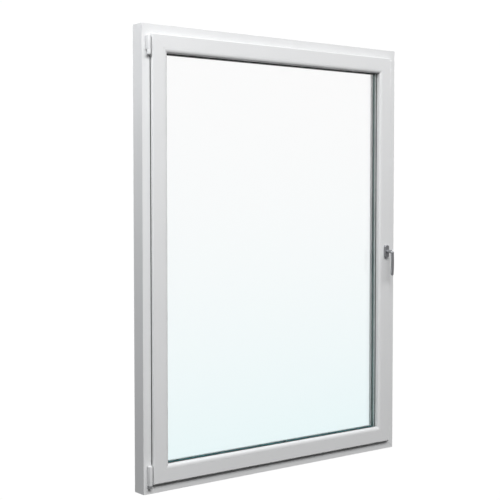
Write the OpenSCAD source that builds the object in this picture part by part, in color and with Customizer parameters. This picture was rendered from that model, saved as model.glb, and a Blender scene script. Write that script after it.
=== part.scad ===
// Tilt-and-turn window: one inward-opening sash in a fixed frame, with its hardware.
// The room side faces -Y, the weather side +Y, and the hinges are on the -X side.
// The origin is the middle of the underside of the frame.
// Profile sections are drawn as points [y, s]: s is the distance inwards from the frame's edge.

/* [Window] */
// Width over the outer frame
window_w = 1500; // [1200:10:1800]
// Height over the outer frame
window_h = 2000; // [1500:10:2400]

/* [Frame profile] */
// Depth of the outer frame, room face to weather face
frame_depth = 70; // [62:1:84]
// Height of the rebate floor above the frame's outer edge
frame_floor = 47; // [42:0.5:56]
// Rise of the weather-side upstand above the rebate floor
upstand_h = 19; // [16:0.5:22]
// Thickness of the weather-side upstand
upstand_t = 14; // [12:0.5:16]
// Thickness of the outer walls of the plastic profiles
wall_t = 3; // [2.4:0.1:3.4]
// Wall thickness of the steel tubes
steel_t = 1.5; // [1.2:0.1:2.5]

/* [Sash profile] */
// Depth of the sash, room face to weather face
sash_depth = 70; // [66:1:84]
// Distance that the sash's room face stands in front of the frame's
sash_proud = 18; // [17:0.5:22]
// Overlap of the sash lip on the frame
lip_overlap = 6; // [5:0.5:8]
// Thickness of the sash lip
lip_t = 14; // [12:0.5:14.5]
// Gap between the frame's rebate floor and the sash, where the hardware sits
rebate_gap = 11; // [10.5:0.5:13]
// Height of the sash body, from the hardware gap to the glazing rebate
sash_body = 40; // [38:1:50]
// Height of the sash's weather-side glazing flange
flange_h = 23; // [20:1:26]
// Radius of the rounded lip edge
lip_r = 4; // [2:0.5:5]

/* [Glazing] */
// Thickness of one pane
pane_t = 4; // [3:0.5:6]
// Space between the two panes
pane_gap = 16; // [12:1:18]
// Depth of the room-side pane behind the sash's room face
glass_depth = 26; // [22:1:28]
// Gap between the glazing rebate and the edge of the glass
glass_clear = 5; // [4:0.5:6]
// Height of the glazing bead
bead_h = 20; // [18:1:22]
// Depth of the rounding on the bead's face
bead_round = 9; // [5:0.5:14]
// Thickness of the weather-side glazing gasket
gasket_t = 4; // [3:0.5:5]
// Thickness of the bead's gasket
bead_gasket_t = 3; // [2:0.5:4]

/* [Locking] */
// Width of the faceplates
plate_w = 16; // [14:0.5:18]
// Thickness of the faceplates
plate_t = 2.2; // [1.8:0.1:2.4]
// Width of the drive rods
rod_w = 12; // [10:0.5:12.5]
// Thickness of the drive rods
rod_t = 2.4; // [2:0.1:2.6]
// Centre of the hardware groove behind the lip
groove_set = 15; // [13:0.5:16]
// Distance that the rods move for half a turn of the handle
rod_travel = 36; // [30:1:36]
// Teeth on the pinion
teeth = 12; // [10:1:14]
// Distance of the outermost cams from the frame's corners
cam_end = 330; // [260:10:400]
// Radius of a locking cam's head
cam_r = 4; // [3:0.5:5]

/* [Hinges] */
// Distance of the hinge line from the frame's hinge edge
hinge_in = 27; // [25:0.5:28]
// Distance of the hinge line in front of the frame's room face
hinge_out = 12; // [11.5:0.5:14]
// Radius of the hinge pins
pin_r = 3; // [2.5:0.25:3.5]
// Outer radius of the hinge covers
cover_r = 9; // [8.5:0.25:9.5]
// Height of each hinge cover
cover_h = 84; // [70:1:96]
// Height of the tilt pivot above the frame's underside
tilt_z = 42; // [41:0.5:43]
// Length of the stay arm
stay_len = 500; // [400:10:520]

/* [Handle] */
// Height of the spindle above the frame's underside
handle_z = 1000; // [800:10:1200]
// Width across the square spindle
spindle_w = 7; // [6:0.5:8]
// Width of the rosette
rosette_w = 28; // [26:1:32]
// Height of the rosette
rosette_h = 64; // [60:1:70]
// Thickness of the rosette
rosette_t = 11; // [9:0.5:13]
// Radius of the rosette's corners
rosette_r = 12; // [6:0.5:13]
// Distance from the sash to the middle of the lever
lever_out = 47; // [42:1:55]
// Length of the lever
lever_l = 127; // [110:1:140]
// Width of the lever
lever_w = 17; // [15:0.5:19]
// Thickness of the lever
lever_t = 12; // [10:0.5:14]

/* [Fixings] */
// Radius of the frame's fixing holes
fixing_r = 5; // [3.5:0.25:5.5]
// Distance of the outermost fixings from the frame's corners
fixing_end = 220; // [200:5:260]
// Number of fixings in each jamb
fixing_count = 4; // [3:1:5]

/* [Hidden] */
$fn = 48;
// Clearance between a soft or sliding piece and its neighbour
run_gap = 0.3;
// Clearance of a pin in its bore
pin_gap = 0.05;
// Thickness of the webs inside the plastic profiles
web_t = 2;
room_y = -frame_depth / 2;
weather_y = frame_depth / 2;
lip_s = frame_floor - lip_overlap;
plate_s = frame_floor + rebate_gap;
glazing_s = plate_s + sash_body;
sash_y = room_y - sash_proud;
sash_back_y = sash_y + sash_depth;
lip_back_y = sash_y + lip_t;
groove_y = lip_back_y + groove_set;
groove_w = plate_w + 0.4;
channel_w = rod_w + 1.4;
groove_d = 3;
channel_d = 9;
upstand_s = frame_floor + upstand_h;
upstand_y = weather_y - upstand_t;
flange_s = glazing_s + flange_h;
glass_y = sash_y + glass_depth;
glass_back_y = glass_y + 2 * pane_t + pane_gap;
flange_y = glass_back_y + gasket_t;
glass_s = glazing_s + glass_clear;
bead_s = glazing_s + bead_h;
rod_s = plate_s + plate_t + 0.15;
pitch_r = rod_travel / PI;
tooth_pitch = 2 * PI * pitch_r / teeth;
spindle_s = rod_s + rod_t / 2 + pitch_r;
backset = spindle_s - plate_s;
case_t = 13;
case_h = 120;
hinge_x = -window_w / 2 + hinge_in;
hinge_y = room_y - hinge_out;
knuckle_r = cover_r - 2;
cover_wall = 1.2;
// Thickness and place of the hinge plates that pass between the sash lip and the frame
flap_t = 3.2;
flap_y = (lip_back_y + room_y) / 2;
// Heights of the hinge covers, from the frame's corners
cover_low_z = tilt_z - 3.5;
cover_top_z = window_h - 50;
eye_h = 23;
eye_z = cover_top_z - cover_h;
handle_x = window_w / 2 - spindle_s;
lever_y = sash_y - lever_out;
screw_pitch = 43;
screw_r = 1.9;
corner_leg = 110;
stay_t = 3;
stay_z = window_h - frame_floor - rebate_gap + 4;
stay_x = hinge_x + stay_len;

WHITE = [0.93, 0.94, 0.95];
ZINC = [0.72, 0.73, 0.75];
SATIN = [0.5, 0.51, 0.53];
BLACK = [0.12, 0.12, 0.13];

// Sides: 0 bottom, 1 lock, 2 top, 3 hinge. Along a side X is its length and Z points inwards.
function side_full(k) = k % 2 == 0 ? window_w : window_h;
function arc(cy, cs, ry, rs, from, to, steps) =
    [for (i = [0:steps]) let (a = from + (to - from) * i / steps) [cy + ry * cos(a), cs + rs * sin(a)]];

module at_side(k) {
    translate([0, 0, window_h / 2])
        rotate([0, -90 * k, 0])
            translate([0, 0, -side_full(1 - k % 2) / 2])
                children();
}

// A length of the section, centred on its side
module bar(length) {
    rotate([90, 0, 90])
        translate([0, 0, -length / 2])
            linear_extrude(length)
                children();
}

// The section carried along side k and cut to 45 degrees at both ends
module mitred(k, top_s) {
    half = side_full(k) / 2;
    intersection() {
        bar(2 * half) children();
        rotate([90, 0, 0])
            linear_extrude(400, center = true)
                polygon([[-half, 0], [half, 0], [half - top_s, top_s], [-half + top_s, top_s]]);
    }
}

// A rectangular section from [y0, s0] to [y1, s1]
module cell(y0, s0, y1, s1) {
    translate([y0, s0]) square([y1 - y0, s1 - s0]);
}

// A box on a side, from [x0, y0, s0] to [x1, y1, s1]
module block(x0, y0, s0, x1, y1, s1) {
    translate([x0, y0, s0]) cube([x1 - x0, y1 - y0, s1 - s0]);
}

module frame_section() {
    steel_y = weather_y - upstand_t - wall_t - web_t;
    difference() {
        polygon([[room_y, 0], [weather_y, 0], [weather_y, upstand_s - 2], [weather_y - 2, upstand_s],
            [upstand_y, upstand_s], [upstand_y, frame_floor], [room_y + 2.5, frame_floor],
            [room_y, frame_floor - 2.5]]);
        cell(room_y + wall_t, wall_t, -steel_y - web_t, frame_floor - wall_t);
        cell(-steel_y, wall_t, steel_y, frame_floor - wall_t);
        cell(steel_y + web_t, wall_t, weather_y - wall_t, frame_floor - wall_t);
        cell(upstand_y + wall_t, frame_floor - wall_t + web_t, weather_y - wall_t, upstand_s - wall_t);
    }
}

module frame_member(k) {
    difference() {
        mitred(k, upstand_s) frame_section();
        if (k % 2 == 1)
            fixing_places(k) cylinder(r = fixing_r, h = frame_floor + 2);
        striker_screw_places(k)
            translate([0, 0, frame_floor - wall_t - 1]) cylinder(r = screw_r + pin_gap, h = wall_t + 2, $fn = 24);
        if (k == 0)
            for (x = [-window_w / 3, 0, window_w / 3])
                block(x - 12, weather_y - wall_t - 1, 8, x + 12, weather_y + 1, 13);
    }
}

module fixing_places(k) {
    reach = side_full(k) / 2 - fixing_end;
    for (i = [0:fixing_count - 1])
        translate([-reach + 2 * reach * i / (fixing_count - 1), 0, -1]) children();
}

module frame_sill() {
    color(WHITE)
        difference() {
            at_side(0) frame_member(0);
            corner_screw_place() screw_hole();
        }
}
module frame_jamb_lock() color(WHITE) at_side(1) frame_member(1);
module frame_head() color(WHITE) at_side(2) frame_member(2);
module frame_jamb_hinge() {
    color(WHITE)
        difference() {
            at_side(3) frame_member(3);
            stay_screw_places() screw_hole();
        }
}

module tube_section(y0, s0, y1, s1) {
    difference() {
        cell(y0, s0, y1, s1);
        cell(y0 + steel_t, s0 + steel_t, y1 - steel_t, s1 - steel_t);
    }
}

module frame_reinforcements() {
    steel_y = weather_y - upstand_t - wall_t - web_t - run_gap;
    color(ZINC)
        for (k = [0:3])
            at_side(k)
                difference() {
                    bar(side_full(k) - 2 * frame_floor - 20)
                        tube_section(-steel_y, wall_t + run_gap, steel_y, frame_floor - wall_t - run_gap);
                    if (k % 2 == 1)
                        fixing_places(k) cylinder(r = fixing_r, h = frame_floor + 2);
                }
}

// Weather seal between the frame's upstand and the sash
module frame_gasket() {
    color(BLACK)
        for (k = [0:3])
            at_side(k)
                mitred(k, upstand_s)
                    polygon([[upstand_y, upstand_s - 9], [upstand_y, upstand_s - 1],
                        [sash_back_y + run_gap, upstand_s - 2], [sash_back_y + run_gap, upstand_s - 5]]);
}

// Profile of the sash: lip over the frame, hardware groove, body and glazing flange
module sash_section() {
    difference() {
        polygon(concat(
            arc(sash_y + lip_r, lip_s + lip_r, lip_r, lip_r, 180, 270, 5),
            [[lip_back_y - 1, lip_s], [lip_back_y, lip_s + 1], [lip_back_y, plate_s],
                [groove_y - groove_w / 2, plate_s], [groove_y - groove_w / 2, plate_s + groove_d],
                [groove_y - channel_w / 2, plate_s + groove_d], [groove_y - channel_w / 2, plate_s + channel_d],
                [groove_y + channel_w / 2, plate_s + channel_d], [groove_y + channel_w / 2, plate_s + groove_d],
                [groove_y + groove_w / 2, plate_s + groove_d], [groove_y + groove_w / 2, plate_s],
                [sash_back_y, plate_s], [sash_back_y, flange_s - 3], [sash_back_y - 3, flange_s],
                [flange_y, flange_s], [flange_y, glazing_s], [sash_y, glazing_s]]));
        cell(sash_y + wall_t, lip_s + wall_t + 1, lip_back_y - wall_t, plate_s - web_t);
        cell(sash_y + wall_t, plate_s, groove_y - groove_w / 2 - wall_t, glazing_s - wall_t);
        cell(groove_y - case_t / 2 - 0.5, plate_s + channel_d + wall_t,
            groove_y + case_t / 2 + 0.5, glazing_s - wall_t);
        cell(groove_y + groove_w / 2 + web_t, plate_s + wall_t, sash_back_y - wall_t, glazing_s - wall_t);
        cell(flange_y + wall_t, glazing_s, sash_back_y - wall_t, flange_s - wall_t - 2);
    }
}

module sash_member(k) {
    difference() {
        mitred(k, flange_s) sash_section();
        screw_places(k)
            translate([0, 0, plate_s + 1]) cylinder(r = screw_r + pin_gap, h = channel_d + wall_t, $fn = 24);
    }
}

module sash_bottom_rail() color(WHITE) at_side(0) sash_member(0);
module sash_top_rail() color(WHITE) at_side(2) sash_member(2);
module sash_stile_hinge() color(WHITE) at_side(3) sash_member(3);
module sash_stile_lock() {
    color(WHITE)
        difference() {
            at_side(1) sash_member(1);
            gearbox_outline(0.3);
            at_spindle() {
                rotate([90, 0, 0]) cylinder(r = spindle_w * 0.75 + 3, h = 60);
                for (z = [-screw_pitch / 2, screw_pitch / 2])
                    translate([0, 0, z]) rotate([90, 0, 0]) cylinder(r = 3, h = 60);
            }
        }
}

// The middle of the hardware groove's depth on the spindle's line
module at_spindle() {
    translate([handle_x, groove_y, handle_z]) children();
}

module gearbox_outline(grow) {
    depth = spindle_s - plate_s + 15;
    at_spindle()
        translate([backset - depth, -case_t / 2 - grow, -case_h / 2 - grow])
            cube([depth - groove_d - plate_t + 0.1, case_t + 2 * grow, case_h + 2 * grow]);
}

module sash_reinforcements() {
    color(ZINC)
        for (k = [0:3])
            at_side(k)
                bar(side_full(k) - 2 * glazing_s - 10)
                    tube_section(groove_y + groove_w / 2 + web_t + run_gap, plate_s + wall_t + run_gap,
                        sash_back_y - wall_t - run_gap, glazing_s - wall_t - run_gap);
}

// Seal between the sash lip and the frame's room face, left out behind the hinge plates
module overlap_gasket() {
    color(BLACK)
        difference() {
            for (k = [0:3])
                at_side(k)
                    mitred(k, plate_s)
                        polygon([[lip_back_y, lip_s - 1], [lip_back_y, lip_s + 5.5],
                            [room_y - run_gap, lip_s + 4.5], [room_y - run_gap, lip_s - 2]]);
            translate([hinge_x, -200, 0])
                cube([lip_s + 20 - hinge_in, 400, cover_low_z + cover_h + 3]);
            translate([hinge_x, -200, eye_z - 3])
                cube([lip_s + 20 - hinge_in, 400, stay_z + stay_t + 5 - eye_z]);
        }
}

// Glazing bead with a rounded face that runs down to the glass
module bead_section() {
    foot_y = glass_y - bead_gasket_t;
    difference() {
        polygon(concat(
            [[foot_y, glazing_s], [foot_y, bead_s], [sash_y + bead_round, bead_s]],
            arc(sash_y + bead_round, bead_s - 16.5, bead_round, 16.5, 90, 180, 8),
            [[sash_y, glazing_s + 0.8], [sash_y + 0.8, glazing_s]]));
        cell(sash_y + 6, glazing_s + 3, foot_y - 2.5, bead_s - 11);
    }
}

module bead(k) at_side(k) mitred(k, bead_s) bead_section();
module bead_bottom() color(WHITE) bead(0);
module bead_lock() color(WHITE) bead(1);
module bead_top() color(WHITE) bead(2);
module bead_hinge() color(WHITE) bead(3);

module bead_gaskets() {
    color(BLACK)
        for (k = [0:3])
            at_side(k)
                mitred(k, bead_s + 5)
                    polygon([[glass_y - bead_gasket_t, bead_s - 8], [glass_y - bead_gasket_t, bead_s + 0.5],
                        [glass_y - 1, bead_s + 2.4], [glass_y, bead_s + 2.4], [glass_y, bead_s - 8]]);
}

module glazing_gaskets() {
    color(BLACK)
        for (k = [0:3])
            at_side(k)
                mitred(k, flange_s + 5)
                    polygon([[glass_back_y, flange_s - 9], [glass_back_y, flange_s + 1.2],
                        [glass_back_y + 1, flange_s + 1.2], [flange_y, flange_s - 0.5],
                        [flange_y, flange_s - 9]]);
}

module pane(y) {
    translate([-window_w / 2 + glass_s, y, glass_s])
        cube([window_w - 2 * glass_s, pane_t, window_h - 2 * glass_s]);
}
module glass_pane_room() color([0.85, 0.95, 0.95, 0.4]) pane(glass_y);
module glass_pane_weather() color([0.85, 0.95, 0.95, 0.4]) pane(glass_back_y - pane_t);

module spacer_bar() {
    color(SATIN)
        for (k = [0:3])
            at_side(k)
                mitred(k, glass_s + 12.5)
                    tube_section(glass_y + pane_t, glass_s + 5, glass_back_y - pane_t, glass_s + 12.5);
}

module edge_sealant() {
    color(BLACK)
        for (k = [0:3])
            at_side(k)
                mitred(k, glass_s + 5)
                    cell(glass_y + pane_t, glass_s, glass_back_y - pane_t, glass_s + 5);
}

// Packers that carry the glass: one pair under it and one at each end of both stiles
module glazing_blocks() {
    color([0.2, 0.35, 0.6])
        for (k = [0, 1, 3])
            at_side(k)
                for (end = [-1, 1])
                    translate([end * (side_full(k) / 2 - glass_s - 130), 0, 0])
                        block(-50, glass_y - 1, glazing_s, 50, glass_back_y + 2, glass_s - 0.2);
}

// Cam places along side k. Every rod moves towards -X of its own side.
function cam_total(k) = k == 1 ? 4 : 3;
function cam_used(k) = k == 2 ? 2 : cam_total(k);
function cam_x(k, i) =
    let (reach = side_full(k) / 2 - cam_end) -reach + 2 * reach * i / (cam_total(k) - 1);
function plate_end(k) = side_full(k) / 2 - plate_s - corner_leg - 1;
// Where the rod stops at its +X end: the top rod stops short of the stay's guide
function rod_end(k) = k == 2 ? -stay_x - 45 : plate_end(k) - 2;
screw_step = 130;

module along_cams(k) {
    for (i = [0:cam_used(k) - 1])
        translate([cam_x(k, i), groove_y, 0]) children();
}

// A slot through the thickness of a plate, reaching from x0 to x1
module slot(x0, x1, r, s, h) {
    translate([x0, 0, s]) cylinder(r = r, h = h, $fn = 24);
    translate([x1, 0, s]) cylinder(r = r, h = h, $fn = 24);
    translate([x0, -r, s]) cube([x1 - x0, 2 * r, h]);
}

module faceplate(k) {
    far = k == 2 || k == 3 ? side_full(k) / 2 - plate_s - 22 : plate_end(k);
    near = k == 3 ? side_full(k) / 2 - plate_s - 22 : plate_end(k);
    difference() {
        block(k == 3 ? -near : -plate_end(k), groove_y - plate_w / 2, plate_s,
            k == 3 ? plate_end(k) : far, groove_y + plate_w / 2, plate_s + plate_t);
        along_cams(k) {
            slot(-rod_travel, 0, cam_r - 0.3, plate_s - 1, plate_t + 2);
            translate([screw_step, 0, plate_s - 1]) cylinder(r = 2, h = plate_t + 2, $fn = 24);
        }
        if (k == 2)
            translate([0, groove_y, 0]) {
                slot(-stay_x, -stay_x + 30, pin_r + 1.7, plate_s - 1, plate_t + 2);
                for (x = [-stay_x - 25, -stay_x + 55])
                    translate([x, 0, plate_s - 1]) cylinder(r = 2, h = plate_t + 2, $fn = 24);
            }
        if (k == 1)
            translate([handle_z - window_h / 2, groove_y, 0])
                for (x = [-case_h / 2 + 8, case_h / 2 - 8])
                    translate([x, 0, plate_s - 1]) cylinder(r = 2, h = plate_t + 2, $fn = 24);
    }
}
module faceplate_bottom() color(ZINC) at_side(0) faceplate(0);
module faceplate_lock() color(ZINC) at_side(1) faceplate(1);
module faceplate_top() color(ZINC) at_side(2) faceplate(2);
module faceplate_hinge() color(ZINC) at_side(3) faceplate(3);

module drive_rod(k) {
    difference() {
        block(-plate_end(k) + rod_travel + 2, groove_y - rod_w / 2, rod_s,
            rod_end(k), groove_y + rod_w / 2, rod_s + rod_t);
        along_cams(k) slot(screw_step, screw_step + rod_travel, 2.6, rod_s - 1, rod_t + 2);
        if (k == 1)
            translate([handle_z - window_h / 2, groove_y, 0]) {
                for (i = [-2:ceil(rod_travel / tooth_pitch) + 2])
                    block(i * tooth_pitch - rung_gap / 2, -4.6, rod_s - 1,
                        i * tooth_pitch + rung_gap / 2, 4.6, rod_s + rod_t + 1);
                for (x = [-case_h / 2 + 8, case_h / 2 - 8])
                    slot(x, x + rod_travel, 2.6, rod_s - 1, rod_t + 2);
            }
    }
}
rung_gap = tooth_pitch * 0.63;
module drive_rod_bottom() color(ZINC) at_side(0) drive_rod(0);
module drive_rod_lock() color(ZINC) at_side(1) drive_rod(1);
module drive_rod_top() color(ZINC) at_side(2) drive_rod(2);
module drive_rod_hinge() color(ZINC) at_side(3) drive_rod(3);

module cams(k) {
    along_cams(k) {
        translate([0, 0, plate_s - 2]) cylinder(r = cam_r - 0.8, h = rod_s - plate_s + 2);
        translate([0, 0, frame_floor + 3]) cylinder(r = cam_r, h = plate_s - 2 - frame_floor - 3);
    }
}
module cams_bottom() color(ZINC) at_side(0) cams(0);
module cams_lock() color(ZINC) at_side(1) cams(1);
module cams_top() color(ZINC) at_side(2) cams(2);
module cams_hinge() color(ZINC) at_side(3) cams(3);

// Striker: a base on the rebate floor, a fence on the weather side and a hook past the closed cam
module striker(length) {
    fence = cam_r + 0.8;
    difference() {
        union() {
            block(-length, -9, frame_floor, 26, 9, frame_floor + 2.2);
            block(-length, fence, frame_floor, 26, fence + 2.5, frame_floor + 8);
            block(cam_r + 1.5, -fence - 2.5, frame_floor, 26, -fence, frame_floor + 8);
            block(cam_r + 1.5, -fence - 2.5, frame_floor + 2, cam_r + 4, fence + 1, frame_floor + 8);
        }
        for (x = [-length + 8, 18])
            translate([x, 0, frame_floor - 1]) cylinder(r = screw_r + 0.1, h = 12, $fn = 24);
    }
}

// The striker of the sill's last cam also holds the tilted sash and is longer
function is_tilt(k, i) = k == 0 && i == 2;
function striker_l(k, i) = rod_travel + (is_tilt(k, i) ? 34 : 14);
module striker_places(tilt) {
    for (k = [0:3])
        at_side(k)
            for (i = [0:cam_used(k) - 1])
                if (is_tilt(k, i) == tilt)
                    translate([cam_x(k, i), groove_y, 0]) striker(striker_l(k, i));
}
module strikers() color(ZINC) striker_places(false);
module tilt_striker() color(ZINC) striker_places(true);

module striker_screw_places(k) {
    for (i = [0:cam_used(k) - 1])
        for (x = [8 - striker_l(k, i), 18])
            translate([cam_x(k, i) + x, groove_y, 0]) children();
}
module striker_screws() {
    color(ZINC)
        for (k = [0:3])
            at_side(k)
                striker_screw_places(k) {
                    translate([0, 0, frame_floor - wall_t])
                        cylinder(r = screw_r, h = wall_t + 2.2, $fn = 24);
                    translate([0, 0, frame_floor + 2.2]) cylinder(r = 3.4, h = 0.6, $fn = 24);
                }
}

// Block on the sill that takes the closed sash's weight at the lock corner
module run_up_block() {
    color([0.75, 0.75, 0.75])
        translate([window_w / 2 - plate_s - corner_leg / 2, groove_y, frame_floor])
            rotate([90, 0, 0])
                linear_extrude(16, center = true)
                    polygon([[-30, 0], [30, 0], [30, 5], [18, rebate_gap - 0.4],
                        [-18, rebate_gap - 0.4], [-30, 5]]);
}

// Gearbox: a flat case with a round cell for the pinion and a bore each side for its hub
module gearbox_case() {
    cell_r = pitch_r + 1.2 + 0.6;
    color(ZINC)
        difference() {
            translate([-plate_t - groove_d - 0.1, 0, 0]) intersection() {
                gearbox_outline(0);
                at_spindle() translate([-100 + plate_t + 3, -50, -200]) cube([200, 100, 400]);
            }
            at_spindle() {
                rotate([90, 0, 0]) cylinder(r = cell_r, h = 9, center = true);
                translate([0, -4.5, -cell_r]) cube([60, 9, 2 * cell_r]);
                rotate([90, 0, 0]) cylinder(r = 8 + pin_gap, h = 40, center = true);
                for (z = [-screw_pitch / 2, screw_pitch / 2])
                    translate([0, 0, z]) rotate([90, 0, 0]) cylinder(r = 2.5, h = 40, center = true);
                for (z = [-1, 1])
                    translate([0, 0, z * (case_h / 2 - 8)])
                        rotate([0, 90, 0]) cylinder(r = screw_r + 0.1, h = 60, center = true, $fn = 24);
            }
        }
}

// Pinion: its teeth pass through the slots of the lock-side drive rod
module pinion() {
    root = pitch_r - 2;
    tip = pitch_r + 1.15;
    color([0.6, 0.58, 0.5])
        at_spindle()
            rotate([90, 0, 0])
                difference() {
                    union() {
                        cylinder(r = root, h = 8, center = true);
                        cylinder(r = 8, h = case_t - 0.4, center = true);
                        for (i = [0:teeth - 1])
                            rotate([0, 0, 360 * i / teeth])
                                linear_extrude(8, center = true)
                                    polygon([[root - 1, -tooth_pitch * 0.23], [pitch_r, -tooth_pitch * 0.19],
                                        [tip, -tooth_pitch * 0.12], [tip, tooth_pitch * 0.12],
                                        [pitch_r, tooth_pitch * 0.19], [root - 1, tooth_pitch * 0.23]]);
                    }
                    cube([spindle_w + 0.1, spindle_w + 0.1, 40], center = true);
                }
}

module spindle() {
    color(ZINC)
        translate([handle_x - spindle_w / 2, lever_y + 2, handle_z - spindle_w / 2])
            cube([spindle_w, groove_y + case_t / 2 - 0.2 - lever_y - 2, spindle_w]);
}

// An upright outline with rounded corners, as thick as t, whose back is at y
module rounded_plate(w, h, r, y, t) {
    translate([handle_x, y, handle_z])
        rotate([90, 0, 0])
            linear_extrude(t) {
                square([w - 2 * r, h], center = true);
                square([w, h - 2 * r], center = true);
                for (x = [-1, 1])
                    for (z = [-1, 1])
                        translate([x * (w / 2 - r), z * (h / 2 - r)]) circle(r = r);
            }
}

neck_r = lever_w / 2 - 0.5;
module handle_base() {
    color(ZINC)
        difference() {
            rounded_plate(rosette_w - 2 * cover_wall - 0.6, rosette_h - 2 * cover_wall - 0.6,
                rosette_r - cover_wall - 0.3, sash_y, 3);
            translate([handle_x, sash_y + 1, handle_z]) rotate([90, 0, 0]) {
                cylinder(r = spindle_w * 0.75 + 0.5, h = 10);
                for (y = [-screw_pitch / 2, screw_pitch / 2])
                    translate([0, y, 0]) cylinder(r = 2.6, h = 10);
            }
        }
}

module rosette_cover() {
    color(SATIN)
        difference() {
            rounded_plate(rosette_w, rosette_h, rosette_r, sash_y, rosette_t);
            rounded_plate(rosette_w - 2 * cover_wall, rosette_h - 2 * cover_wall, rosette_r - cover_wall, sash_y + 1,
                rosette_t + 1 - cover_wall);
            translate([handle_x, sash_y, handle_z])
                rotate([90, 0, 0]) cylinder(r = neck_r + run_gap, h = 40);
        }
}

module handle_screws() {
    reach = groove_y + case_t / 2 - sash_y - 1;
    color(ZINC)
        translate([handle_x, sash_y + reach, handle_z])
            for (z = [-screw_pitch / 2, screw_pitch / 2])
                translate([0, 0, z]) rotate([90, 0, 0]) {
                    cylinder(r = 2.45, h = reach + 3);
                    translate([0, 0, reach + 3]) cylinder(r = 4.5, h = 2.5);
                }
}

// Lever: a round neck out of the rosette and a flat grip that hangs down when closed
module handle_lever() {
    end_r = lever_w / 2;
    color(SATIN)
        difference() {
            union() {
                translate([handle_x, sash_y - 3.4, handle_z])
                    rotate([90, 0, 0]) cylinder(r = neck_r, h = lever_out - 3.4);
                translate([handle_x, lever_y + lever_t / 2, handle_z])
                    rotate([90, 0, 0])
                        linear_extrude(lever_t) {
                            circle(r = end_r);
                            translate([0, end_r - lever_l + end_r]) circle(r = end_r);
                            translate([-end_r, 2 * end_r - lever_l]) square([lever_w, lever_l - 2 * end_r]);
                        }
            }
            translate([handle_x - spindle_w / 2 - 0.05, lever_y + 2, handle_z - spindle_w / 2 - 0.05])
                cube([spindle_w + 0.1, 80, spindle_w + 0.1]);
        }
}

// Corner drives: an angle in the groove at each corner that a rod turns round
module corner_drives() {
    color(ZINC)
        for (k = [0, 1, 3])
            at_side(k)
                translate([side_full(k) / 2 - plate_s, groove_y, plate_s])
                    difference() {
                        union() {
                            block(-corner_leg, -plate_w / 2, 0, 0, plate_w / 2, plate_t);
                            block(-plate_t, -plate_w / 2, 0, 0, plate_w / 2, corner_leg);
                            block(-corner_leg, -rod_w / 2, plate_t, -plate_t, rod_w / 2, 8.5);
                            block(-8.5, -rod_w / 2, plate_t, -plate_t, rod_w / 2, corner_leg);
                        }
                        translate([-corner_leg + 12, 0, -1]) cylinder(r = 2, h = 20, $fn = 24);
                        translate([-20, 0, corner_leg - 12]) rotate([0, 90, 0]) cylinder(r = 2, h = 40, $fn = 24);
                    }
}

// Every screw of side k that goes through a faceplate or a corner drive
module screw_places(k) {
    end_x = side_full(k) / 2 - plate_s - corner_leg + 12;
    along_cams(k) translate([screw_step, 0, 0]) children();
    translate([0, groove_y, 0]) {
        if (k == 2) {
            translate([-stay_x - 25, 0, 0]) children();
            translate([-stay_x + 55, 0, 0]) children();
        }
        if (k == 1)
            for (x = [-case_h / 2 + 8, case_h / 2 - 8])
                translate([handle_z - window_h / 2 + x, 0, 0]) children();
        if (k != 2)
            translate([end_x, 0, 0]) children();
        if (k != 3)
            translate([-end_x, 0, 0]) children();
    }
}
module hardware_screws() {
    color(ZINC)
        for (k = [0:3])
            at_side(k)
                screw_places(k) {
                    translate([0, 0, plate_s - 0.5]) cylinder(r = 3.2, h = 0.5, $fn = 24);
                    translate([0, 0, plate_s]) cylinder(r = screw_r, h = channel_d + wall_t - 0.5, $fn = 24);
                }
}

// Guide in the top groove for the pin at the end of the stay arm
module stay_guide() {
    color(ZINC)
        at_side(2)
            translate([-stay_x, groove_y, 0])
                difference() {
                    block(-14, -rod_w / 2, plate_s + plate_t, 44, rod_w / 2, plate_s + channel_d);
                    slot(0, 30, pin_r + 1.7, plate_s, channel_d + 1);
                }
}

// Stay arm: a flat bar in the gap above the sash, cranked round the lip to an eye on the hinge line
module stay_arm() {
    flap_x0 = hinge_x + cover_r + 0.8;
    flap_x1 = hinge_x + plate_s - hinge_in - 3;
    bar_w = 14;
    color(ZINC)
        difference() {
            union() {
                translate([hinge_x, hinge_y, eye_z + 1.5]) cylinder(r = knuckle_r, h = eye_h);
                translate([hinge_x, hinge_y, eye_z + 1.5])
                    cube([cover_r + 1.8, flap_y + flap_t / 2 - hinge_y, eye_h]);
                translate([flap_x0, flap_y - flap_t / 2, eye_z + 1.5])
                    cube([flap_x1 - flap_x0, flap_t, stay_z + stay_t - eye_z - 1.5]);
                translate([flap_x1 - 6, flap_y - flap_t / 2, stay_z])
                    cube([6, groove_y + bar_w / 2 - flap_y + flap_t / 2, stay_t]);
                translate([flap_x1 - 6, groove_y - bar_w / 2, stay_z])
                    cube([stay_x - flap_x1 + 6, bar_w, stay_t]);
                translate([stay_x, groove_y, stay_z]) cylinder(r = bar_w / 2, h = stay_t);
                translate([stay_x, groove_y, stay_z - 12]) cylinder(r = pin_r, h = 12);
            }
            translate([hinge_x, hinge_y, eye_z - 1]) cylinder(r = pin_r + pin_gap, h = eye_h + 5);
        }
}

// Round shell with a flat back, open towards the frame
module hinge_shell(z, h, back, bore_wall) {
    translate([hinge_x, hinge_y, z])
        difference() {
            union() {
                cylinder(r = cover_r, h = h);
                translate([-cover_r, 0, 0]) cube([2 * cover_r, back, h]);
            }
            translate([0, 0, bore_wall]) {
                cylinder(r = cover_r - cover_wall, h = h - 2 * bore_wall);
                translate([-cover_r + cover_wall, 0, 0])
                    cube([2 * (cover_r - cover_wall), back + 1, h - 2 * bore_wall]);
            }
        }
}

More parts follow.
